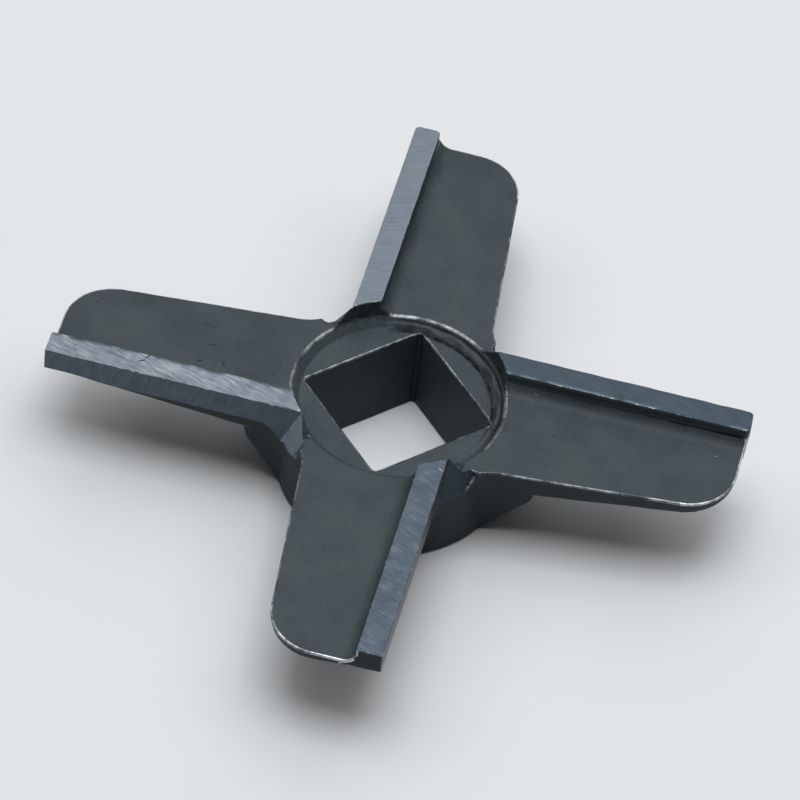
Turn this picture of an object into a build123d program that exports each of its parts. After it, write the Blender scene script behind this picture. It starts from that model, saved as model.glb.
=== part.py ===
from build123d import *
import os
from math import atan2, cos, degrees, radians, sin, sqrt, tan

# Four-armed knife of a household meat grinder, cast in one piece.
# The flat ground lands run against the hole plate; the square hole fits the worm's drive.
# Millimetres. Origin: centre of the hub's back face. +Z: towards the ground lands.
# X and Y lie along the flats of the square hole, so the arms point along the diagonals.
# Every arm is drawn pointing along +X with its cutting edge on the +Y side.

# ---- driving dimensions ----------------------------------------------------
CUTTING_DIAMETER = 47.6      # circle swept by the outer corners of the cutting edges
OVERALL_HEIGHT = 9.0         # hub's back face to the ground lands
ARM_COUNT = 4
SQUARE_DRIVE = 9.2           # across the flats of the square hole
SQUARE_CORNER_RADIUS = 0.3

EDGE_OFFSET = 4.7            # cutting edge to the parallel line through the axis
LAND_WIDTH = 1.75            # ground strip behind the cutting edge
LAND_HEIGHT = 1.4            # lands above the cast web
SHOULDER_RADIUS = 1.0        # hollow between the land's back and the web
ROOT_RAMP = 1.0              # cast slope left in front of the land, inside the grinding

TRAIL_OFFSET = 4.45          # trailing edge to the arm's centre line where the hub ends
TRAIL_TAPER = 5.6            # degrees by which the trailing edge closes towards the tip
TIP_CORNER_RADIUS = 3.5
ROOT_RADIUS = 3.7            # hollow between neighbouring arms, seen from above
SIDE_DRAFT = 12.0            # degrees by which the cast sides lean in below the web

ARM_THICKNESS_ROOT = 2.28    # web to underside where the hub ends
ARM_THICKNESS_TIP = 0.9
UNDERSIDE_TILT = 4.6         # degrees by which the underside rises towards the cutting edge
UNDERSIDE_CROWN = 0.44       # rise of the underside's arc at the cutting edge
UNDERSIDE_EDGE_RADIUS = 0.5  # round of the arm's lower edges

RAKE_GROUND_DEPTH = 1.95     # lands down to the end of the ground rake face
RAKE_WHEEL_WIDTH = 3.0       # how far in front of the rake face the grinding reaches
RAKE_WHEEL_NOSE = 1.35       # how far the wheel's pointed rim bites in past the end of the land
RAKE_WHEEL_TIP_RADIUS = 0.5
RAKE_WHEEL_LEAN = 21.0       # degrees by which the end of the grinding leans outwards

RECESS_DIAMETER = 14.4       # round recess around the drive hole, at the web
RECESS_DEPTH = 2.0           # lands down to the floor of the recess
RECESS_WALL_SLOPE = 0.55     # how far the foot of its wall comes in
RECESS_MOUTH_DRAFT = 3.0     # degrees of draft of its wall above the web

HUB_DIAMETER = 15.4          # at the back face
HUB_DRAFT = 5.0              # degrees by which the hub widens between the arms
HUB_EDGE_RADIUS = 0.3        # round of the hub's back edge
GUSSET_DIAMETER = 21.2       # rim where the hub ends below the arms
GUSSET_RIM_HEIGHT = 4.6      # back face to that rim
GUSSET_SHIFT = 1.0           # rim's centre, off the axis towards the trailing side

# ---- derived sizes ---------------------------------------------------------
WEB_TOP = OVERALL_HEIGHT - LAND_HEIGHT
RECESS_FLOOR = OVERALL_HEIGHT - RECESS_DEPTH
TIP_X = sqrt((CUTTING_DIAMETER / 2) ** 2 - EDGE_OFFSET ** 2)
HUB_RADIUS = HUB_DIAMETER / 2
RECESS_RADIUS = RECESS_DIAMETER / 2
MOUTH_RADIUS = RECESS_RADIUS + LAND_HEIGHT * tan(radians(RECESS_MOUTH_DRAFT))
ARM_ROOT_X = GUSSET_DIAMETER / 2
CAST_EDGE_OFFSET = EDGE_OFFSET + (RAKE_GROUND_DEPTH - LAND_HEIGHT) * tan(radians(SIDE_DRAFT))
ARM_TURN = 360 / ARM_COUNT
FIRST_ARM = ARM_TURN / 2
CLEAR = 1.0                  # how far helper bodies run past the metal
ACROSS_ARM = Plane(origin=(0, 0, 0), x_dir=(0, 1, 0), z_dir=(1, 0, 0))


def around(shape, first=0.0):
    """Copies of a shape made for one arm, one for each arm."""
    return [Rot(0, 0, first + ARM_TURN * i) * shape for i in range(ARM_COUNT)]


def trail_y(x):
    """Where the trailing edge lies at the distance x from the axis."""
    return (x - ARM_ROOT_X) * tan(radians(TRAIL_TAPER)) - TRAIL_OFFSET


def arm_outline():
    """Cast outline of one arm at the web, with its rounded trailing corner."""
    trailing_tip = (TIP_X, trail_y(TIP_X))
    face = make_face(Polyline(
        (0, trail_y(0)),
        trailing_tip,
        (TIP_X, CAST_EDGE_OFFSET),
        (0, CAST_EDGE_OFFSET),
        close=True,
    ))
    corner = face.vertices().sort_by_distance(trailing_tip)[0]
    return fillet(corner, TIP_CORNER_RADIUS)


def star():
    """All arms at once, with the hollows between them, leaning in below the web."""
    outline = Sketch() + around(arm_outline())
    hollows = outline.vertices().sort_by(lambda v: v.X ** 2 + v.Y ** 2)[:ARM_COUNT]
    outline = fillet(hollows, ROOT_RADIUS)
    return extrude(Pos(0, 0, WEB_TOP) * outline, WEB_TOP, dir=(0, 0, -1), taper=SIDE_DRAFT)


def arm_sector():
    """The wedge of space that belongs to one arm."""
    reach = CUTTING_DIAMETER
    half_turn = radians(ARM_TURN / 2)
    far_x = reach * cos(half_turn)
    far_y = reach * sin(half_turn)
    wedge = make_face(Polyline((0, 0), (far_x, -far_y), (far_x, far_y), close=True))
    return extrude(wedge, OVERALL_HEIGHT)


def hub_boss():
    """Drafted round boss, rounded at the back face."""
    top_radius = HUB_RADIUS + WEB_TOP * tan(radians(HUB_DRAFT))
    boss = Pos(0, 0, WEB_TOP / 2) * Cone(HUB_RADIUS, top_radius, WEB_TOP)
    back_edge = boss.edges().group_by(Axis.Z)[0]
    return fillet(back_edge, HUB_EDGE_RADIUS)


def gusset():
    """Wide conical back of the hub, which shows below the arms only."""
    back = Circle(HUB_RADIUS)
    rim = Pos(0, -GUSSET_SHIFT, GUSSET_RIM_HEIGHT) * Circle(ARM_ROOT_X)
    return loft([back, rim]) + extrude(rim, WEB_TOP - GUSSET_RIM_HEIGHT)


def above_underside():
    """Space above one arm's crowned underside, which climbs from the hub to the tip."""
    climb = degrees(atan2(ARM_THICKNESS_ROOT - ARM_THICKNESS_TIP, TIP_X - ARM_ROOT_X))
    half = ARM_ROOT_X
    tilt = half * tan(radians(UNDERSIDE_TILT))
    crown = UNDERSIDE_CROWN * (half / EDGE_OFFSET) ** 2
    low = (-half, crown - tilt)
    high = (half, crown + tilt)
    section = ThreePointArc(low, (0, 0), high)
    section += Polyline(high, (half, OVERALL_HEIGHT), (-half, OVERALL_HEIGHT), low)
    slab = extrude(ACROSS_ARM * make_face(section), TIP_X + CLEAR, dir=(1, 0, 0))
    slab = Pos(-ARM_ROOT_X, 0, 0) * slab
    return Pos(ARM_ROOT_X, 0, WEB_TOP - ARM_THICKNESS_ROOT) * Rot(0, -climb, 0) * slab


def land_bar():
    """Raised bar along the cutting edge, with its hollow shoulder and its cast front slope."""
    back = EDGE_OFFSET - LAND_WIDTH
    sunk = WEB_TOP - LAND_HEIGHT / 4
    diagonal = SHOULDER_RADIUS * (1 - cos(radians(45)))
    shoulder_top = (back, WEB_TOP + SHOULDER_RADIUS)
    shoulder_mid = (back - diagonal, WEB_TOP + diagonal)
    shoulder_foot = (back - SHOULDER_RADIUS, WEB_TOP)
    section = Line((back, OVERALL_HEIGHT), shoulder_top)
    section += ThreePointArc(shoulder_top, shoulder_mid, shoulder_foot)
    section += Polyline(
        shoulder_foot,
        (shoulder_foot[0], sunk),
        (EDGE_OFFSET + ROOT_RAMP, sunk),
        (EDGE_OFFSET + ROOT_RAMP, WEB_TOP),
        (EDGE_OFFSET, OVERALL_HEIGHT),
        (back, OVERALL_HEIGHT),
    )
    return extrude(ACROSS_ARM * make_face(section), TIP_X)


def rake_cut():
    """Path of the grinding wheel that makes the rake face and, with its pointed rim, its end."""
    root_x = sqrt(MOUTH_RADIUS ** 2 - EDGE_OFFSET ** 2)
    far_side = EDGE_OFFSET + RAKE_WHEEL_WIDTH
    nose = (root_x - RAKE_WHEEL_NOSE, EDGE_OFFSET + RAKE_WHEEL_WIDTH / 2)
    wheel = make_face(Polyline(
        (root_x, EDGE_OFFSET),
        nose,
        (root_x, far_side),
        (CUTTING_DIAMETER, far_side),
        (CUTTING_DIAMETER, EDGE_OFFSET),
        close=True,
    ))
    wheel = fillet(wheel.vertices().sort_by_distance(nose)[0], RAKE_WHEEL_TIP_RADIUS)
    lean = radians(RAKE_WHEEL_LEAN)
    wheel = Pos(0, 0, OVERALL_HEIGHT) * wheel
    return extrude(wheel, 2 * OVERALL_HEIGHT, dir=(sin(lean), 0, -cos(lean)), both=True)


def recess():
    """Round recess with a sloping wall, open towards the lands."""
    mouth = MOUTH_RADIUS + CLEAR * tan(radians(RECESS_MOUTH_DRAFT))
    face = make_face(Polyline(
        (0, RECESS_FLOOR),
        (RECESS_RADIUS - RECESS_WALL_SLOPE, RECESS_FLOOR),
        (RECESS_RADIUS, WEB_TOP),
        (mouth, OVERALL_HEIGHT + CLEAR),
        (0, OVERALL_HEIGHT + CLEAR),
        close=True,
    ))
    return revolve(Plane.XZ * face, Axis.Z)


def drive_hole():
    """Square through hole with rounded corners."""
    square = RectangleRounded(SQUARE_DRIVE, SQUARE_DRIVE, SQUARE_CORNER_RADIUS)
    return extrude(Pos(0, 0, -CLEAR) * square, OVERALL_HEIGHT + 2 * CLEAR)


def knife():
    """The whole casting, ground and finished."""
    sector = star() & arm_sector()
    blade = sector & above_underside()
    lower_edges = blade.edges().filter_by(GeomType.BSPLINE).filter_by(
        lambda e: e.center().X > ARM_ROOT_X and e.center().Y < 0
    )
    blade = fillet(lower_edges, UNDERSIDE_EDGE_RADIUS)
    arm = blade + (sector & gusset())
    body = hub_boss() + around(arm, FIRST_ARM)
    body += around(land_bar(), FIRST_ARM)
    body -= around(rake_cut(), FIRST_ARM)
    body -= recess()
    body -= drive_hole()
    return body


part = knife()
os.makedirs("parts", exist_ok=True)
export_step(part, "parts/grinder_knife.step")
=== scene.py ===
"""Looks of a cast meat grinder knife with ground cutting lands, for Blender 4.5."""
import logging
import math
from collections.abc import Callable
from dataclasses import dataclass, field
from enum import IntEnum

import bmesh
import bpy
from mathutils import Matrix, Vector, noise


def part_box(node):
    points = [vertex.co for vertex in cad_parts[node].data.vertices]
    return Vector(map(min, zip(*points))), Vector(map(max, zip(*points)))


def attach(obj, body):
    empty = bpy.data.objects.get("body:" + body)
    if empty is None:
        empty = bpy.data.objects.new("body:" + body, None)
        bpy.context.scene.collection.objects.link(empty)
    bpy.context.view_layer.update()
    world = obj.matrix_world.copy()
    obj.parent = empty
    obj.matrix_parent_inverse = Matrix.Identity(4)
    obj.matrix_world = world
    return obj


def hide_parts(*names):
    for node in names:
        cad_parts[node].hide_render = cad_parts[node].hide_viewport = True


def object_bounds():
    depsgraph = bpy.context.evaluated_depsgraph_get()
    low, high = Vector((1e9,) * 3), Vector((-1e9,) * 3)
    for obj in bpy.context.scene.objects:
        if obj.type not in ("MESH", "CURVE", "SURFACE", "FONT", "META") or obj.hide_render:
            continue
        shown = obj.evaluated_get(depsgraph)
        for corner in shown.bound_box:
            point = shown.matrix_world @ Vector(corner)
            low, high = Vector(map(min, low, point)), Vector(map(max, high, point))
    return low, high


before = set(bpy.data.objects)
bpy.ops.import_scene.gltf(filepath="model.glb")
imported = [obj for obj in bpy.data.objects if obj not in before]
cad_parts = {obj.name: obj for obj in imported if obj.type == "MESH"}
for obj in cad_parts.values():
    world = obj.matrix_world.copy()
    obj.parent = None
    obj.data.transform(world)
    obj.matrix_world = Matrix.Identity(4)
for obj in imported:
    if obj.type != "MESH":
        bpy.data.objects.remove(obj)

CAD_BOX = [list(corner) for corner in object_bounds()]
MM = 0.001
NODE = "grinder_knife"
BODY = "root"
FIRST_ARM = 45.0   # degrees from +X to the first arm
ARM_TURN = 90.0    # degrees from one arm to the next
ARM_COUNT = 4
LAND_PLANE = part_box(NODE)[1].z
LAND_HEIGHT = 1.4 * MM
WEB_TOP = LAND_PLANE - LAND_HEIGHT
TOUCH = 0.01 * MM  # two heights closer than this are the same
RECESS_DEPTH = 2.0 * MM
RECESS_FLOOR = LAND_PLANE - RECESS_DEPTH
EDGE_OFFSET = 4.7 * MM     # cutting edge to the parallel line through the axis
TIP_X = 23.331 * MM        # from the axis to an arm's tip, along the arm
WHEEL_LEAN = 21.0          # degrees by which the ground stop beside each land leans outwards
WHEEL_PATH = Vector((math.sin(math.radians(WHEEL_LEAN)), 0, -math.cos(math.radians(WHEEL_LEAN))))
LAND_LEAD = 0.06           # share of ARM_TURN by which a land lies ahead of its arm's middle
NOISE_MIDDLE = 0.5         # middle value of a noise texture
NOISE_LOW = 0.3            # most of a noise texture's values lie between these two
NOISE_HIGH = 0.7


class Zone(IntEnum):
    """Material slots of the casting, one for each way its surface was made."""

    CAST_SKIN = 0
    WORN_EDGE = 1
    BARE_EDGE = 2
    BURR = 3
    FIRST_STOP = 4
    FIRST_RAKE = 8
    FIRST_LAND = 12


def linear(code: str) -> tuple[float, float, float, float]:
    """Turns an sRGB hex colour to linear.

    Args:
        code: six hex digits with a leading #.

    Returns:
        Red, green, blue and an alpha of 1, as shaders take them.
    """
    channels = [int(code[i:i + 2], 16) / 255 for i in (1, 3, 5)]
    channels = [c / 12.92 if c <= 0.04045 else ((c + 0.055) / 1.055) ** 2.4 for c in channels]
    return (*channels, 1.0)


def add_node(tree: bpy.types.NodeTree, kind: str, inputs: dict | None = None,
             **settings) -> bpy.types.Node:
    """Adds a shader node, sets it up and links it.

    Args:
        tree: the material's or world's node tree.
        kind: the node's type name without the ShaderNode prefix.
        inputs: a value or another node's output socket for each input, by name or number.
        settings: properties of the node itself.

    Returns:
        The new node.
    """
    node = tree.nodes.new("ShaderNode" + kind)
    for name, value in settings.items():
        setattr(node, name, value)
    for key, value in (inputs or {}).items():
        if isinstance(value, bpy.types.NodeSocket):
            tree.links.new(value, node.inputs[key])
        else:
            node.inputs[key].default_value = value
    return node


def new_material(name: str) -> tuple[bpy.types.Material, bpy.types.NodeTree]:
    """Makes an empty node material.

    Args:
        name: what the material really is.

    Returns:
        The material and its node tree.
    """
    material = bpy.data.materials.new(name)
    material.use_nodes = True
    material.node_tree.nodes.clear()
    return material, material.node_tree


def colour_ramp(tree: bpy.types.NodeTree, level: bpy.types.NodeSocket,
                *stops: tuple[float, str]) -> bpy.types.NodeSocket:
    """Adds a ramp between colours.

    Args:
        tree: the material's node tree.
        level: the value that picks the colour.
        stops: level and hex colour of each stop, from the lowest to the highest.

    Returns:
        The picked colour.
    """
    node = add_node(tree, "ValToRGB", {"Fac": level})
    ends = node.color_ramp.elements
    for end, (position, colour) in zip(ends, (stops[0], stops[-1])):
        end.position, end.color = position, linear(colour)
    for position, colour in stops[1:-1]:
        node.color_ramp.elements.new(position).color = linear(colour)
    return node.outputs["Color"]


def arm_angle(number: int) -> float:
    """Angle of an arm from +X, in radians."""
    return math.radians(FIRST_ARM + ARM_TURN * number)


# ---- finishes ---------------------------------------------------------------
@dataclass(frozen=True)
class Mark:
    """One small stain, nick or scratch, in millimetres from the part's origin."""

    colour: str
    at: tuple[float, float, float]
    length: float
    width: float
    angle: float = 0.0        # degrees from +X that it runs at
    reach: float = 0.5        # above and below its middle
    solid: float = 0.6        # share of its half size that it covers fully
    gone: float = 1.15        # share of its half size at which it has faded out

    def laid_on(self, tree: bpy.types.NodeTree, place: bpy.types.NodeSocket,
                colour: bpy.types.NodeSocket) -> bpy.types.NodeSocket:
        """Adds the mark to a material's colour.

        Args:
            tree: the material's node tree.
            place: position on the part, already frayed a little.
            colour: the colour without the mark.

        Returns:
            The colour with the mark.
        """
        inside = add_node(tree, "Mapping", {
            "Vector": place, "Location": Vector(self.at) * MM,
            "Rotation": (0, 0, math.radians(self.angle)),
            "Scale": Vector((self.length, self.width, 2 * self.reach)) * MM / 2},
            vector_type="TEXTURE")
        reach = add_node(tree, "VectorMath", {0: inside.outputs["Vector"]}, operation="LENGTH")
        cover = add_node(tree, "MapRange", {
            "Value": reach.outputs["Value"], "From Min": self.gone, "From Max": self.solid})
        return add_node(tree, "Mix", {
            "Factor": cover.outputs["Result"], "A": colour, "B": linear(self.colour)},
            data_type="RGBA").outputs["Result"]


def frayed(tree: bpy.types.NodeTree, place: bpy.types.NodeSocket, by: float,
           size: float = 0.35 * MM) -> bpy.types.NodeSocket:
    """Shifts positions irregularly, so that marks get ragged outlines.

    Args:
        tree: the material's node tree.
        place: position on the part.
        by: the largest shift.
        size: of the ragged bits.

    Returns:
        The shifted position.
    """
    cloud = add_node(tree, "TexNoise", {"Vector": place, "Scale": 1 / size, "Detail": 2.0})
    centred = add_node(tree, "VectorMath", {
        0: cloud.outputs["Color"], 1: (NOISE_MIDDLE,) * 3}, operation="SUBTRACT")
    shift = add_node(tree, "VectorMath", {
        0: centred.outputs["Vector"], "Scale": 2 * by}, operation="SCALE")
    return add_node(tree, "VectorMath", {
        0: place, 1: shift.outputs["Vector"]}, operation="ADD").outputs["Vector"]


@dataclass(frozen=True)
class CastSteelSkin:
    """Shot-blasted cast steel: dark, matte and evenly grained, with faint stains, with painted
    shade in two rings beside the recess bead and with nicks in the recess rim painted bright as
    glints.
    """

    base: str = "#404A4F"
    stain: str = "#394348"
    bloom: str = "#475054"
    # painted shade: this dark colour and the ring settings after it paint the shade at the foot of
    # the recess wall and beside the bead
    painted_ring_shade: str = "#15191C"
    shade_ring_radii: tuple[float, ...] = (6.36 * MM, 6.98 * MM)   # radii of the rings of painted shade along the bead
    shade_ring_full: float = 0.04 * MM    # from the middle of a ring to the end of its full painted shade
    shade_ring_end: float = 0.11 * MM      # and to where the painted shade has faded out
    shade_ring_from: float = 2.4 * MM      # along Y, where the painted shade starts
    shade_ring_deepest: float = 4.2 * MM      # and where it is as deep as it gets
    shade_ring_depth: float = 0.85         # share of the skin's colour that the painted shade hides
    specular: float = 0.25
    metallic: float = 0.1
    roughness: float = 0.6
    roughness_swing: float = 0.06
    stain_size: float = 3.2 * MM
    stain_level: float = 0.33       # noise levels at which stain and bloom reach their colours
    bloom_level: float = 0.68
    grain_size: float = 0.2 * MM    # sand grain, drawn as coarse as it needs to show
    grain_depth: float = 0.012 * MM
    grain_tone: float = 0.14        # by which the grain lightens and darkens the colour
    fray: float = 0.06 * MM         # of the marks' outlines
    marks: tuple[Mark, ...] = (
        Mark("#23292D", (-8.69, -10.38, 7.6), 0.42, 0.2, 63),
        Mark("#2B3236", (-7.78, -9.07, 7.6), 0.7, 0.16, -18),
        Mark("#30373C", (-9.52, -8.84, 7.6), 0.8, 0.2, 56),
        Mark("#2B3236", (-16.43, -13.88, 7.6), 0.36, 0.16, 29),
        Mark("#343B40", (-11.08, -8.11, 7.6), 1.0, 0.24, 40),
        Mark("#343B40", (-5.4, -6.6, 7.6), 0.4, 0.2, 23),
        Mark("#6F777C", (4.34, 8.14, 7.6), 0.4, 0.1, 23),
        Mark("#30373C", (7.83, 7.45, 7.6), 0.62, 0.14, 28),
        Mark("#868D91", (15.6, 17.4, 7.6), 0.6, 0.1, 22),
        Mark("#70777B", (14.3, 16.2, 7.6), 0.3, 0.12, 70),
        Mark("#181D20", (-0.75, 8.34, 7.4), 0.7, 0.6, 90),
        # painted highlight: nicks in the recess rim, painted bright as glints of light
        Mark("#B4BBC0", (-0.55, -6.92, 7.6), 0.35, 0.14, 30),
        Mark("#A5ACB1", (0.10, -7.10, 7.6), 0.45, 0.12, -20),
        Mark("#9AA1A6", (0.55, -7.30, 7.6), 0.25, 0.10, 40),
    )

    def material(self) -> bpy.types.Material:
        """Builds the shader."""
        made, tree = new_material("shot_blasted_cast_steel")
        place = add_node(tree, "TexCoord").outputs["Object"]
        stains = add_node(tree, "TexNoise", {
            "Vector": place, "Scale": 1 / self.stain_size, "Detail": 5.0, "Roughness": 0.62})
        grain = add_node(tree, "TexNoise", {
            "Vector": place, "Scale": 1 / self.grain_size, "Detail": 3.0, "Roughness": 0.6})
        stained = colour_ramp(
            tree, stains.outputs["Fac"], (self.stain_level, self.stain),
            (NOISE_MIDDLE, self.base), (self.bloom_level, self.bloom))
        speckle = add_node(tree, "MapRange", {
            "Value": grain.outputs["Fac"], "From Min": NOISE_LOW, "From Max": NOISE_HIGH,
            "To Min": 1 - self.grain_tone, "To Max": 1 + self.grain_tone})
        toned = add_node(tree, "Mix", {
            "Factor": 1.0, "A": stained, "B": speckle.outputs["Result"]},
            data_type="RGBA", blend_type="MULTIPLY")
        colour = toned.outputs["Result"]
        ragged = frayed(tree, place, self.fray)
        # painted shade: dark rings beside the bead, on its side of the recess
        for radius in self.shade_ring_radii:
            colour = self.paint_shade_ring(tree, ragged, colour, radius)
        for mark in self.marks:
            colour = mark.laid_on(tree, ragged, colour)
        rough = add_node(tree, "MapRange", {
            "Value": stains.outputs["Fac"], "From Min": NOISE_LOW, "From Max": NOISE_HIGH,
            "To Min": self.roughness - self.roughness_swing,
            "To Max": self.roughness + self.roughness_swing})
        grained = add_node(tree, "Bump", {
            "Height": grain.outputs["Fac"], "Distance": self.grain_depth, "Strength": 1.0})
        shader = add_node(tree, "BsdfPrincipled", {
            "Base Color": colour, "Metallic": self.metallic, "Specular IOR Level": self.specular,
            "Roughness": rough.outputs["Result"], "Normal": grained.outputs["Normal"]})
        add_node(tree, "OutputMaterial", {"Surface": shader.outputs["BSDF"]})
        return made

    def paint_shade_ring(self, tree: bpy.types.NodeTree, place: bpy.types.NodeSocket,
                colour: bpy.types.NodeSocket, radius: float) -> bpy.types.NodeSocket:
        """Paints shade into a narrow dark ring beside the bead in the recess, on the bead's side
        only.

        Args:
            tree: the material's node tree.
            place: position on the part, already frayed a little.
            colour: the colour without the ring.
            radius: of the ring.

        Returns:
            The colour with the ring.
        """
        flat = add_node(tree, "Mapping", {"Vector": place, "Scale": (1.0, 1.0, 0.0)})
        reach = add_node(tree, "VectorMath", {0: flat.outputs["Vector"]}, operation="LENGTH")
        off = add_node(tree, "Math", {0: reach.outputs["Value"], 1: radius}, operation="SUBTRACT")
        apart = add_node(tree, "Math", {0: off.outputs["Value"]}, operation="ABSOLUTE")
        near = add_node(tree, "MapRange", {
            "Value": apart.outputs["Value"], "From Min": self.shade_ring_end,
            "From Max": self.shade_ring_full})
        split = add_node(tree, "SeparateXYZ", {0: place})
        side = add_node(tree, "MapRange", {
            "Value": split.outputs["Y"], "From Min": self.shade_ring_from,
            "From Max": self.shade_ring_deepest, "To Max": self.shade_ring_depth})
        cover = add_node(tree, "Math", {
            0: near.outputs["Result"], 1: side.outputs["Result"]}, operation="MULTIPLY")
        return add_node(tree, "Mix", {
            "Factor": cover.outputs["Value"], "A": colour, "B": linear(self.painted_ring_shade)},
            data_type="RGBA").outputs["Result"]


@dataclass(frozen=True)
class RubbedEdge:
    """Edge rubbed by handling: dull like the skin beside it, with bright bare spots."""

    name: str
    dull: str
    bright: str
    spot_size: float              # of a bare spot
    from_level: float = 0.42      # noise level at which bare metal starts to show
    full_level: float = 0.64
    relief: float = 0.02 * MM     # height of the spots
    metallic: float = 0.7
    roughness: float = 0.42

    def material(self) -> bpy.types.Material:
        """Builds the shader."""
        made, tree = new_material(self.name)
        place = add_node(tree, "TexCoord").outputs["Object"]
        spots = add_node(tree, "TexNoise", {
            "Vector": place, "Scale": 1 / self.spot_size, "Detail": 4.0, "Roughness": 0.7})
        colour = colour_ramp(
            tree, spots.outputs["Fac"],
            (self.from_level, self.dull), (self.full_level, self.bright))
        bump = add_node(tree, "Bump", {
            "Height": spots.outputs["Fac"], "Distance": self.relief, "Strength": 1.0})
        shader = add_node(tree, "BsdfPrincipled", {
            "Base Color": colour, "Metallic": self.metallic,
            "Roughness": self.roughness, "Normal": bump.outputs["Normal"]})
        add_node(tree, "OutputMaterial", {"Surface": shader.outputs["BSDF"]})
        return made


@dataclass(frozen=True)
class GroundSteel:
    """Steel ground on a coarse wheel: bare metal with parallel scratches of several depths."""

    name: str
    base: str
    light: str                     # of the raised burrs along the scratches
    dark: str                      # of the deepest scratches
    direction: float               # degrees from +X that the scratches run at, seen from above
    dip: float = 0.0               # degrees by which they run down
    roughness: float = 0.45
    metallic: float = 0.9
    stroke: float = 1.6 * MM       # length of a scratch
    spacing: float = 0.085 * MM    # between scratches, drawn as coarse as it needs to show
    coarseness: float = 2.2        # spacing of the second set of scratches, in first ones
    depth: float = 0.012 * MM
    spread: float = 9.0            # degrees between the two sets of scratches
    cloud_size: float = 1.5 * MM   # of the lighter and darker patches
    contrast: float = 1.0
    half_range: float = 0.42       # height above the middle that gets the light colour
    fray: float = 0.05 * MM        # of the marks' outlines
    marks: tuple[Mark, ...] = ()

    def strokes(self, tree: bpy.types.NodeTree, place: bpy.types.NodeSocket, turn: float,
                spacing: float) -> bpy.types.NodeSocket:
        """Draws one set of parallel scratches.

        Args:
            tree: the material's node tree.
            place: position on the part.
            turn: degrees by which the set is turned from the main direction.
            spacing: between two scratches.

        Returns:
            Their height, around a half.
        """
        turned = add_node(tree, "Mapping", {
            "Vector": place,
            "Rotation": (0, math.radians(self.dip), math.radians(self.direction + turn))},
            vector_type="TEXTURE")
        stretched = add_node(tree, "Mapping", {
            "Vector": turned.outputs["Vector"],
            "Scale": (1 / self.stroke, 1 / spacing, 1 / spacing)})
        return add_node(tree, "TexNoise", {
            "Vector": stretched.outputs["Vector"], "Scale": 1.0, "Detail": 2.0,
            "Roughness": 0.55}).outputs["Fac"]

    def material(self) -> bpy.types.Material:
        """Builds the shader."""
        made, tree = new_material(self.name)
        place = add_node(tree, "TexCoord").outputs["Object"]
        fine = self.strokes(tree, place, 0.0, self.spacing)
        coarse = self.strokes(tree, place, self.spread, self.coarseness * self.spacing)
        cloud = add_node(tree, "TexNoise", {
            "Vector": place, "Scale": 1 / self.cloud_size, "Detail": 3.0, "Roughness": 0.6})
        mixed = add_node(tree, "Math", {0: fine, 1: coarse}, operation="ADD")
        height = add_node(tree, "Math", {
            0: mixed.outputs["Value"], 1: cloud.outputs["Fac"]}, operation="ADD")
        half = self.half_range / self.contrast
        middle = 3 * NOISE_MIDDLE
        level = add_node(tree, "MapRange", {
            "Value": height.outputs["Value"], "From Min": middle - half, "From Max": middle + half})
        colour = colour_ramp(
            tree, level.outputs["Result"],
            (0.0, self.dark), (0.5, self.base), (1.0, self.light))
        if self.marks:
            ragged = frayed(tree, place, self.fray)
            for mark in self.marks:
                colour = mark.laid_on(tree, ragged, colour)
        bump = add_node(tree, "Bump", {
            "Height": mixed.outputs["Value"], "Distance": self.depth, "Strength": 1.0})
        shader = add_node(tree, "BsdfPrincipled", {
            "Base Color": colour, "Metallic": self.metallic,
            "Roughness": self.roughness, "Normal": bump.outputs["Normal"]})
        add_node(tree, "OutputMaterial", {"Surface": shader.outputs["BSDF"]})
        return made


@dataclass(frozen=True)
class StudioPaper:
    """Pale matte paper that throws back only as much light as a mid-grey one."""

    colour: str = "#E6E9EC"
    thrown: str = "#5A5D60"

    def material(self) -> bpy.types.Material:
        """Builds the shader."""
        made, tree = new_material("pale_background_paper")
        path = add_node(tree, "LightPath").outputs
        mirrored = add_node(tree, "Math", {
            0: path["Is Glossy Ray"], 1: path["Is Transmission Ray"]}, operation="MAXIMUM")
        seen = add_node(tree, "Math", {
            0: path["Is Camera Ray"], 1: mirrored.outputs["Value"]}, operation="MAXIMUM")
        dim = add_node(tree, "BsdfDiffuse", {"Color": linear(self.thrown)})
        pale = add_node(tree, "BsdfDiffuse", {"Color": linear(self.colour)})
        paper = add_node(tree, "MixShader", {
            0: seen.outputs["Value"], 1: dim.outputs["BSDF"], 2: pale.outputs["BSDF"]})
        add_node(tree, "OutputMaterial", {"Surface": paper.outputs["Shader"]})
        return made


# ---- the knife ----------------------------------------------------------------
@dataclass(frozen=True)
class Lump:
    """One small bit of flash or stray metal on the cast skin, in millimetres."""

    at: tuple[float, float, float]
    size: float
    height: float
    outwards: bool = False    # instead of up
    reach: float = 3.0        # sizes from its middle to where it ends

    def move(self, at: Vector) -> Vector:
        """Works out how far the lump lifts a place on the casting.

        Args:
            at: a place on the solid.

        Returns:
            Its shift.
        """
        away = (at / MM - Vector(self.at)).length / self.size
        if away > self.reach:
            return Vector()
        rising = Vector((at.x, at.y, 0)).normalized() if self.outwards else Vector((0, 0, 1))
        return rising * self.height * MM * math.exp(-away ** 2)


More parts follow.
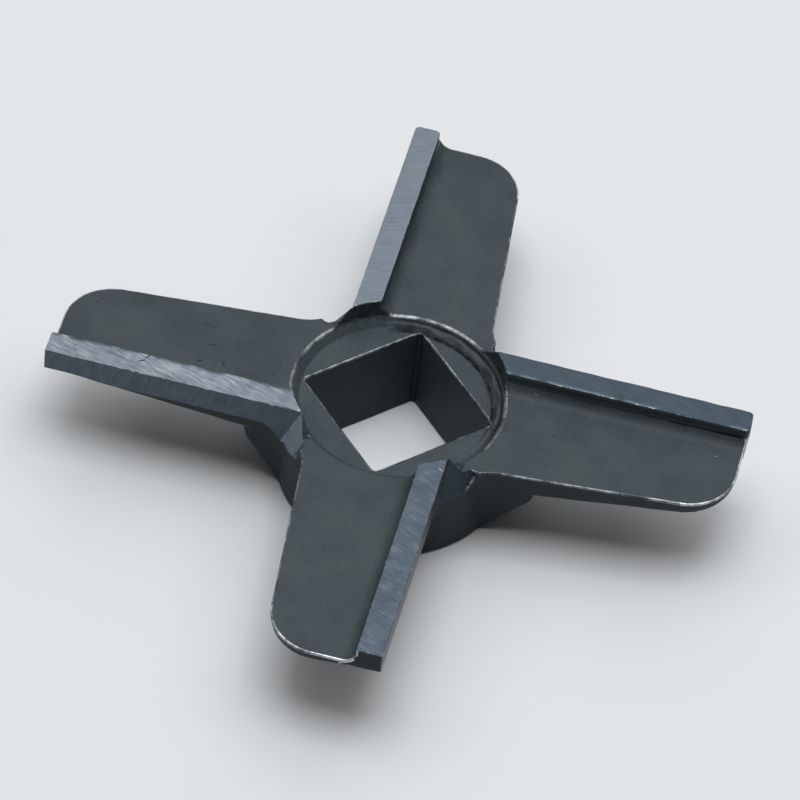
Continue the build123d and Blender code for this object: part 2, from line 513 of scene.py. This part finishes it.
@dataclass
class Casting:
    """The one-piece knife, cast and then ground on its lands and rake faces."""

    cast_round: float = 0.14 * MM      # cast edges are never sharp
    ground_round: float = 0.03 * MM    # ground edges keep only a fine burr
    bar_round: float = 0.34 * MM       # upright corners at the tips of the two more rubbed arms
    sharp_angle: float = 28.0          # degrees between two faces that make an edge
    gusset_inner: float = 10.2 * MM    # from the axis to the corner where arm and gusset meet
    gusset_outer: float = 11.6 * MM
    gusset_low: float = 4.5 * MM
    gusset_high: float = 5.9 * MM
    rake_ahead: float = 0.999          # least share of a rake face's normal that points ahead
    rake_tolerance: float = 0.05 * MM  # from a rake face's plane to the middle of its facets
    stop_tolerance: float = 0.01       # a stop's normal has at most this share along WHEEL_PATH,
    stop_outwards: float = 0.3         # at least this share along its arm
    stop_upwards: float = 0.1          # and at least this share upwards
    bar_upright: float = 0.9           # least share of a bar corner's length that is height
    bar_angle: float = 1.0             # least angle between the faces at a bar corner, in radians
    weld: float = 0.03 * MM
    flat_angle: float = 0.2            # degrees between facets that are one flat face
    grid: float = 0.42 * MM            # spacing of the mesh that carries the unevenness
    grid_touch: float = 1e-7           # from a cutting plane to corners that count as on it
    swell: float = 0.030 * MM          # slow unevenness of the cast skin
    swell_size: float = 3.2 * MM
    ripple: float = 0.012 * MM         # quick unevenness
    ripple_size: float = 0.95 * MM
    fray: float = 0.045 * MM           # unevenness of the ground faces' outlines
    fray_size: float = 0.8 * MM
    fray_origin: Vector = field(default_factory=lambda: Vector((7, 3, 5)))   # in the noise
    bead_radius: float = 6.70 * MM     # run of metal at the foot of the recess wall
    bead_width: float = 0.17 * MM
    bead_height: float = 0.30 * MM
    groove_depth: float = 0.24 * MM
    groove_inwards: float = 1.9        # from the bead's middle to the groove's, in bead widths
    groove_width: float = 0.6          # in bead widths
    bead_from: float = 38.0            # degrees from +X
    bead_to: float = 158.0
    bead_fade: float = 8.0             # degrees over which it starts and ends
    bead_share: float = 0.75           # of the bead's height on average
    bead_swing: float = 0.6            # by which that share rises and falls
    bead_swing_size: float = 0.7 * MM
    bead_wander: float = 0.16 * MM     # from its radius to either side
    bead_wander_size: float = 1.6 * MM
    bead_top: float = 0.2 * MM         # it stays this far below the web
    ring_radii: tuple[float, float] = (5.7 * MM, 7.25 * MM)   # of the finer mesh in the recess
    ring_low: float = 0.02 * MM        # the finer mesh starts this far below the recess's floor
    ring_high: float = 0.15 * MM       # and ends this far below the web
    ring_upwards: float = 0.15         # least share of its faces' normals that points up
    ring_cuts: int = 3
    recess_edge: float = 7.3 * MM      # radius that the bead stays inside
    rim_radius: float = 7.6 * MM       # of the circle around the recess's rounded rim
    rim_low: float = 0.2 * MM          # from the recess's floor to the lowest part of its rim
    shaded_rim_at: float = -40.0         # degrees from +X to the middle of the part of the rim on the camera's side, whose edge keeps plain skin as painted shade
    shaded_rim_half: float = 62.0
    bare_from: float = 19.0 * MM       # from the axis to where the edges are rubbed bare
    lumps: tuple[Lump, ...] = (
        Lump((-0.75, 8.30, 7.50), 0.26, 0.26, outwards=True),
        Lump((-5.70, 3.40, 7.0), 0.16, 0.14),
        Lump((-4.60, 4.75, 7.0), 0.14, 0.10),
        Lump((-1.20, 6.40, 7.0), 0.16, 0.12),
        Lump((4.00, 5.20, 7.0), 0.16, 0.12),
    )
    skin: CastSteelSkin = field(default_factory=CastSteelSkin)

    def build(self) -> bpy.types.Object:
        """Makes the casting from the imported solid.

        Returns:
            The finished piece.
        """
        piece = self.copy_solid()
        self.paint_zones(piece)
        self.round_edges(piece)
        self.spread_wear_and_painted_shade(piece)
        self.cut_grid(piece)
        self.refine_recess(piece)
        self.make_uneven(piece)
        bpy.ops.object.mode_set(mode="OBJECT")
        bpy.ops.object.shade_smooth_by_angle(angle=math.radians(self.sharp_angle))
        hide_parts(NODE)
        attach(piece, BODY)
        return piece

    def copy_solid(self) -> bpy.types.Object:
        """Copies the solid's surface into a new piece and joins its loose triangles.

        Returns:
            The new piece, in edit mode.
        """
        bpy.ops.object.select_all(action="DESELECT")
        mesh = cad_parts[NODE].data.copy()
        mesh.materials.clear()
        piece = bpy.data.objects.new("knife_casting", mesh)
        bpy.context.scene.collection.objects.link(piece)
        piece.select_set(True)
        bpy.context.view_layer.objects.active = piece
        bpy.ops.object.mode_set(mode="EDIT")
        bpy.ops.mesh.select_all(action="SELECT")
        bpy.ops.mesh.remove_doubles(threshold=self.weld)
        bpy.ops.mesh.dissolve_limited(angle_limit=math.radians(self.flat_angle))
        return piece

    def paint_zones(self, piece: bpy.types.Object) -> None:
        """Gives each face the material of the way it was made.

        Args:
            piece: the casting, in edit mode.
        """
        for finish in (self.skin, WORN_EDGE, BARE_EDGE, BURR, *STOPS, *RAKES, *LANDS):
            piece.data.materials.append(finish.material())
        cut = bmesh.from_edit_mesh(piece.data)
        for face in cut.faces:
            face.material_index = self.zone(face)
        bmesh.update_edit_mesh(piece.data)

    def zone(self, face: bmesh.types.BMFace) -> int:
        """Tells which zone a face of the solid belongs to.

        Args:
            face: a face of the casting.

        Returns:
            Its material slot.
        """
        centre = face.calc_center_median()
        lowest = min(corner.co.z for corner in face.verts)
        if lowest > LAND_PLANE - TOUCH:
            turn = math.degrees(math.atan2(centre.y, centre.x)) - FIRST_ARM
            return Zone.FIRST_LAND + round(turn / ARM_TURN - LAND_LEAD) % ARM_COUNT
        for number in range(ARM_COUNT):
            turned_back = Matrix.Rotation(-arm_angle(number), 3, "Z")
            normal, middle = turned_back @ face.normal, turned_back @ centre
            on_rake = abs(middle.y - EDGE_OFFSET) < self.rake_tolerance
            if on_rake and normal.y > self.rake_ahead:
                return Zone.FIRST_RAKE + number
            along_path = abs(normal.dot(WHEEL_PATH)) < self.stop_tolerance
            if along_path and normal.x > self.stop_outwards and normal.z > self.stop_upwards:
                return Zone.FIRST_STOP + number
        return Zone.CAST_SKIN

    def round_edges(self, piece: bpy.types.Object) -> None:
        """Rounds the cast edges and takes the keenness off the ground ones.

        Args:
            piece: the casting, in edit mode.
        """
        bpy.ops.mesh.select_mode(type="EDGE")
        self.bevel(piece, self.is_bar_corner,
                   width=self.bar_round, steps=4, zone=Zone.CAST_SKIN)
        self.bevel(piece, lambda edge: self.is_edge(edge, ground=False),
                   width=self.cast_round, steps=3, zone=Zone.WORN_EDGE)
        self.bevel(piece, lambda edge: self.is_edge(edge, ground=True),
                   width=self.ground_round, steps=1, zone=Zone.BURR)

    def bevel(self, piece: bpy.types.Object, chosen: Callable[[bmesh.types.BMEdge], bool],
              width: float, steps: int, zone: Zone) -> None:
        """Rounds the chosen edges.

        Args:
            piece: the casting, in edit mode.
            chosen: tells whether an edge is one of them.
            width: of the round on each face.
            steps: facets across it.
            zone: the material it gets.
        """
        bpy.ops.mesh.select_all(action="DESELECT")
        cut = bmesh.from_edit_mesh(piece.data)
        for edge in cut.edges:
            edge.select_set(chosen(edge))
        cut.select_flush_mode()
        bmesh.update_edit_mesh(piece.data)
        bpy.ops.mesh.bevel(
            offset=width, segments=steps, affect="EDGES", clamp_overlap=False,
            material=zone, miter_outer="ARC")

    def is_bar_corner(self, edge: bmesh.types.BMEdge) -> bool:
        """Tells whether an edge is an upright corner of a land's bar at the arm's tip.

        Args:
            edge: an edge of the casting.

        Returns:
            Whether it is such an edge.
        """
        ends = [corner.co for corner in edge.verts]
        middle = (ends[0] + ends[1]) / 2
        upright = abs(ends[0].z - ends[1].z) > self.bar_upright * edge.calc_length()
        at_tip = middle.xy.length > TIP_X and middle.y > 0
        square = edge.is_convex and edge.calc_face_angle(0) > self.bar_angle
        return at_tip and upright and square and middle.z > WEB_TOP

    def is_edge(self, edge: bmesh.types.BMEdge, ground: bool) -> bool:
        """Tells whether an edge is one that gets rounded.

        Args:
            edge: an edge of the casting.
            ground: whether ground edges are looked for, or cast ones.

        Returns:
            Whether it is such an edge.
        """
        if len(edge.link_faces) != 2 or not edge.is_convex:
            return False
        if edge.calc_face_angle(0) < math.radians(self.sharp_angle) or self.is_at_gusset(edge):
            return False
        touched = [face.material_index for face in edge.link_faces]
        return any(index > Zone.BARE_EDGE for index in touched) == ground

    def is_at_gusset(self, edge: bmesh.types.BMEdge) -> bool:
        """Tells whether an edge lies where an arm's underside meets the gusset.

        Args:
            edge: an edge of the casting.

        Returns:
            Whether it lies there. The edges there are too short to be rounded.
        """
        middle = (edge.verts[0].co + edge.verts[1].co) / 2
        in_ring = self.gusset_inner < middle.xy.length < self.gusset_outer
        return in_ring and self.gusset_low < middle.z < self.gusset_high

    def spread_wear_and_painted_shade(self, piece: bpy.types.Object) -> None:
        """Bares the edges at the tips, leaves the skin on the edges under the arms near the hub,
        and paints shade on the rim's side towards the camera by leaving the skin on its edge.

        Args:
            piece: the casting, in edit mode.
        """
        cut = bmesh.from_edit_mesh(piece.data)
        for face in cut.faces:
            if face.material_index != Zone.WORN_EDGE:
                continue
            centre = face.calc_center_median()
            turn = math.degrees(math.atan2(centre.y, centre.x)) - self.shaded_rim_at
            near = abs((turn + 180) % 360 - 180) < self.shaded_rim_half
            on_rim = centre.xy.length < self.rim_radius and centre.z > RECESS_FLOOR + self.rim_low
            if centre.xy.length > self.bare_from:
                face.material_index = Zone.BARE_EDGE
            elif centre.z < self.gusset_high and centre.xy.length < self.gusset_outer:
                face.material_index = Zone.CAST_SKIN
            # painted shade: the rim's edge on the camera's side keeps plain skin instead of the
            # rubbed edge
            elif near and on_rim:
                face.material_index = Zone.CAST_SKIN
        bmesh.update_edit_mesh(piece.data)

    def cut_grid(self, piece: bpy.types.Object) -> None:
        """Cuts the faces along three sets of planes, so that the skin can be made uneven.

        Args:
            piece: the casting, in edit mode.
        """
        low, high = Vector(CAD_BOX[0]), Vector(CAD_BOX[1])
        for axis in range(3):
            steps = int((high[axis] - low[axis]) / self.grid)
            across = Vector([float(i == axis) for i in range(3)])
            for step in range(steps):
                place = across * (low[axis] + (step + 0.5) * self.grid)
                bpy.ops.mesh.select_all(action="SELECT")
                bpy.ops.mesh.bisect(plane_co=place, plane_no=across, threshold=self.grid_touch)

    def refine_recess(self, piece: bpy.types.Object) -> None:
        """Divides the outer part of the recess more finely, for the bead.

        Args:
            piece: the casting, in edit mode.
        """
        bpy.ops.mesh.select_mode(type="FACE")
        bpy.ops.mesh.select_all(action="DESELECT")
        cut = bmesh.from_edit_mesh(piece.data)
        for face in cut.faces:
            centre = face.calc_center_median()
            in_ring = self.ring_radii[0] < centre.xy.length < self.ring_radii[1]
            between = RECESS_FLOOR - self.ring_low < centre.z < WEB_TOP - self.ring_high
            face.select_set(in_ring and between and face.normal.z > self.ring_upwards)
        bmesh.update_edit_mesh(piece.data)
        bpy.ops.mesh.quads_convert_to_tris()
        bpy.ops.mesh.subdivide(number_cuts=self.ring_cuts)

    def make_uneven(self, piece: bpy.types.Object) -> None:
        """Gives the casting its waves, its lumps, the bead in the recess and its frayed outlines.

        Args:
            piece: the casting, in edit mode.
        """
        cut = bmesh.from_edit_mesh(piece.data)
        cut.normal_update()
        moves = [(corner, self.move(corner)) for corner in cut.verts]
        for corner, move in moves:
            corner.co += move
            corner.co.z = min(max(corner.co.z, CAD_BOX[0][2]), CAD_BOX[1][2])
        bmesh.update_edit_mesh(piece.data)

    def move(self, corner: bmesh.types.BMVert) -> Vector:
        """Works out how far a corner of the mesh lies from its place on the solid.

        Args:
            corner: a corner of the casting's mesh.

        Returns:
            Its shift.
        """
        zones = {face.material_index for face in corner.link_faces}
        at = corner.co
        if at.z < TOUCH:
            return Vector()
        if zones <= {Zone.CAST_SKIN, Zone.WORN_EDGE, Zone.BARE_EDGE}:
            height = self.swell * noise.noise(at / self.swell_size)
            height += self.ripple * noise.noise(at / self.ripple_size)
            shift = corner.normal * height
            return sum((lump.move(at) for lump in self.lumps), shift + self.bead(at))
        frayed_by = self.fray * noise.noise(at / self.fray_size + self.fray_origin)
        lands = [number for number in zones if number >= Zone.FIRST_LAND]
        rakes = [number for number in zones if Zone.FIRST_RAKE <= number < Zone.FIRST_LAND]
        stops = [number for number in zones if Zone.FIRST_STOP <= number < Zone.FIRST_RAKE]
        if Zone.BURR not in zones or stops or (lands and rakes):
            return Vector()
        if lands:
            ahead = arm_angle(lands[0] - Zone.FIRST_LAND) + math.pi / 2
            return Vector((math.cos(ahead), math.sin(ahead), 0)) * frayed_by
        return Vector((0, 0, frayed_by)) if rakes else Vector()

    def bead(self, at: Vector) -> Vector:
        """Rise of the run of metal at the foot of the recess wall.

        Args:
            at: a place on the solid.

        Returns:
            Its shift.
        """
        radius = at.xy.length
        low, high = RECESS_FLOOR - TOUCH, WEB_TOP - self.bead_top
        if at.z < low or at.z > high or radius > self.recess_edge:
            return Vector()
        turn = math.degrees(math.atan2(at.y, at.x))
        ends = min(turn - self.bead_from, self.bead_to - turn) / self.bead_fade
        share = self.bead_share + self.bead_swing * noise.noise(at / self.bead_swing_size)
        strength = min(max(ends, 0), 1) * share
        middle = self.bead_radius + self.bead_wander * noise.noise(at / self.bead_wander_size)
        off = (radius - middle) / self.bead_width
        ridge = math.exp(-off ** 2)
        groove = math.exp(-((off + self.groove_inwards) / self.groove_width) ** 2)
        return Vector((0, 0, strength * (self.bead_height * ridge - self.groove_depth * groove)))


# ---- the studio -----------------------------------------------------------------
@dataclass(frozen=True)
class Softbox:
    """A square studio lamp with a diffuser."""

    name: str
    azimuth: float     # degrees, 0 in front of the object, 90 at its right
    elevation: float
    distance: float
    side: float
    watts: float
    colour: str = "#FFFFFF"

    def place(self) -> None:
        """Hangs the lamp, facing the knife."""
        data = bpy.data.lights.new(self.name, "AREA")
        data.shape, data.size, data.energy = "SQUARE", self.side, self.watts
        data.color = linear(self.colour)[:3]
        lamp = bpy.data.objects.new(self.name, data)
        away = direction(self.azimuth, self.elevation)
        lamp.location = away * self.distance
        lamp.rotation_euler = away.to_track_quat("Z", "Y").to_euler()
        bpy.context.scene.collection.objects.link(lamp)


def direction(azimuth: float, elevation: float) -> Vector:
    """Unit vector from the knife towards a place in the studio.

    Args:
        azimuth: degrees round the vertical, 0 towards -Y and 90 towards +X.
        elevation: degrees above the floor.

    Returns:
        The direction.
    """
    turn, rise = math.radians(azimuth), math.radians(elevation)
    along = math.cos(rise)
    return Vector((math.sin(turn) * along, -math.cos(turn) * along, math.sin(rise)))


@dataclass
class Studio:
    """Pale paper, soft light and the camera."""

    camera_azimuth: float = 54.0      # degrees, as are the next two
    camera_elevation: float = 48.33
    camera_roll: float = 6.85
    camera_distance: float = 427.3 * MM
    aim: Vector = field(default_factory=lambda: Vector((1.414, -0.859, 9.0)) * MM)
    sensor: float = 36.0              # mm, as is the lens
    lens: float = 288.7
    clip: tuple[float, float] = (0.01, 10.0)
    floor_side: float = 4.0
    world_colour: str = "#FFFFFF"
    world_strength: float = 0.07
    lamps: tuple[Softbox, ...] = (
        Softbox("top_softbox", azimuth=54, elevation=85, distance=0.6, side=0.32, watts=1.85),
        Softbox("back_softbox", azimuth=230, elevation=52, distance=0.6, side=0.50, watts=0.90),
        Softbox("left_softbox", azimuth=-45, elevation=60, distance=0.6, side=0.36, watts=0.60),
        Softbox("right_softbox", azimuth=153, elevation=60, distance=0.6, side=0.36, watts=0.60),
    )

    def build(self) -> None:
        """Sets up the whole studio."""
        self.build_floor()
        self.build_world()
        self.build_camera()
        for lamp in self.lamps:
            lamp.place()
        bpy.context.scene.view_settings.view_transform = "Standard"

    def build_floor(self) -> None:
        """Lays the paper under the knife."""
        bpy.ops.object.select_all(action="DESELECT")
        bpy.ops.mesh.primitive_plane_add(size=self.floor_side)
        floor = bpy.context.active_object
        floor.name = "paper_floor"
        floor.data.materials.append(StudioPaper().material())

    def build_world(self) -> None:
        """Fills the studio with plain light."""
        world = bpy.data.worlds.new("studio_light")
        world.use_nodes = True
        world.node_tree.nodes.clear()
        light = add_node(world.node_tree, "Background", {
            "Color": linear(self.world_colour), "Strength": self.world_strength})
        add_node(world.node_tree, "OutputWorld", {"Surface": light.outputs["Background"]})
        bpy.context.scene.world = world

    def build_camera(self) -> None:
        """Puts up the camera with its long lens."""
        data = bpy.data.cameras.new("studio_camera")
        data.sensor_width, data.lens = self.sensor, self.lens
        data.clip_start, data.clip_end = self.clip
        camera = bpy.data.objects.new("studio_camera", data)
        away = direction(self.camera_azimuth, self.camera_elevation)
        level = Vector((0, 0, 1)).cross(away).normalized()
        right = Matrix.Rotation(math.radians(self.camera_roll), 3, away) @ level
        turned = Matrix((right, away.cross(right), away)).transposed()
        camera.matrix_world = Matrix.LocRotScale(
            self.aim + away * self.camera_distance, turned.to_quaternion(), None)
        bpy.context.scene.collection.objects.link(camera)
        bpy.context.scene.camera = camera


WORN_EDGE = RubbedEdge("rubbed_cast_edge", "#444C50", "#979EA2", spot_size=0.9 * MM,
                       full_level=0.62)
BARE_EDGE = RubbedEdge("bare_cast_edge", "#6A7377", "#D8DDE0", spot_size=0.9 * MM,
                       from_level=0.38, full_level=0.56)
BURR = RubbedEdge("burr_of_a_ground_edge", "#66707A", "#F2F5F7", spot_size=0.4 * MM,
                  from_level=0.53, full_level=0.64)
# painted light and shade: the four stop faces are one ground steel, and their base colours differ
# for how the light falls on each: stop 2 painted lighter, stop 3 painted darker
STOPS = tuple(
    GroundSteel(f"ground_stop_face_{number}", base, light, dark,
                direction=FIRST_ARM + number * ARM_TURN, dip=90 - WHEEL_LEAN, contrast=0.5,
                depth=0.005 * MM)
    for number, (base, light, dark) in enumerate((
        ("#5E6973", "#6A7680", "#525D67"), ("#5E6973", "#6A7680", "#525D67"),
        ("#76828D", "#85919B", "#68747E"), ("#363F47", "#414B54", "#2C343B"))))
RAKES = tuple(
    GroundSteel(f"ground_rake_face_{number}", "#4D5862", "#59646E", "#414B54",
                direction=FIRST_ARM + number * ARM_TURN, dip=76.0, spacing=0.12 * MM,
                contrast=0.8, depth=0.006 * MM)
    for number in range(ARM_COUNT))
LAND_2_CRACK = (
    Mark("#1C242B", (-9.43, -14.51, 9.0), 0.66, 0.11, 80),
    Mark("#1C242B", (-9.57, -13.85, 9.0), 0.86, 0.11, 103),
)
LAND_3_SCRATCH = (Mark("#B9C4CC", (7.94, -1.60, 9.0), 0.5, 0.06, 20),)
# painted light and shade: the four lands are one ground steel, and their base colours differ for
# how the light falls along each land's scratches: lands 1 and 2 painted lighter, lands 0 and 3
# painted darker
LANDS = (
    GroundSteel("ground_land_0", "#4A5661", "#56626D", "#3E4954", direction=21, contrast=0.6),
    GroundSteel("ground_land_1", "#7A8590", "#8A949D", "#6B7680", direction=58, contrast=0.6),
    GroundSteel("ground_land_2", "#838E98", "#ACB5BD", "#5C6670", direction=29, spread=-8,
                stroke=1.1 * MM, spacing=0.065 * MM, marks=LAND_2_CRACK),
    GroundSteel("ground_land_3", "#57636F", "#707B86", "#47525D", direction=28, spread=-8,
                contrast=0.9, stroke=1.0 * MM, spacing=0.075 * MM, marks=LAND_3_SCRATCH),
)


def main() -> None:
    """Builds the knife and the studio."""
    logging.basicConfig(level=logging.INFO, format="%(message)s")
    log = logging.getLogger("knife")
    piece = Casting().build()
    log.info("%s: %d faces", piece.name, len(piece.data.polygons))
    Studio().build()
    log.info("studio is set up")


if __name__ == "__main__":
    main()
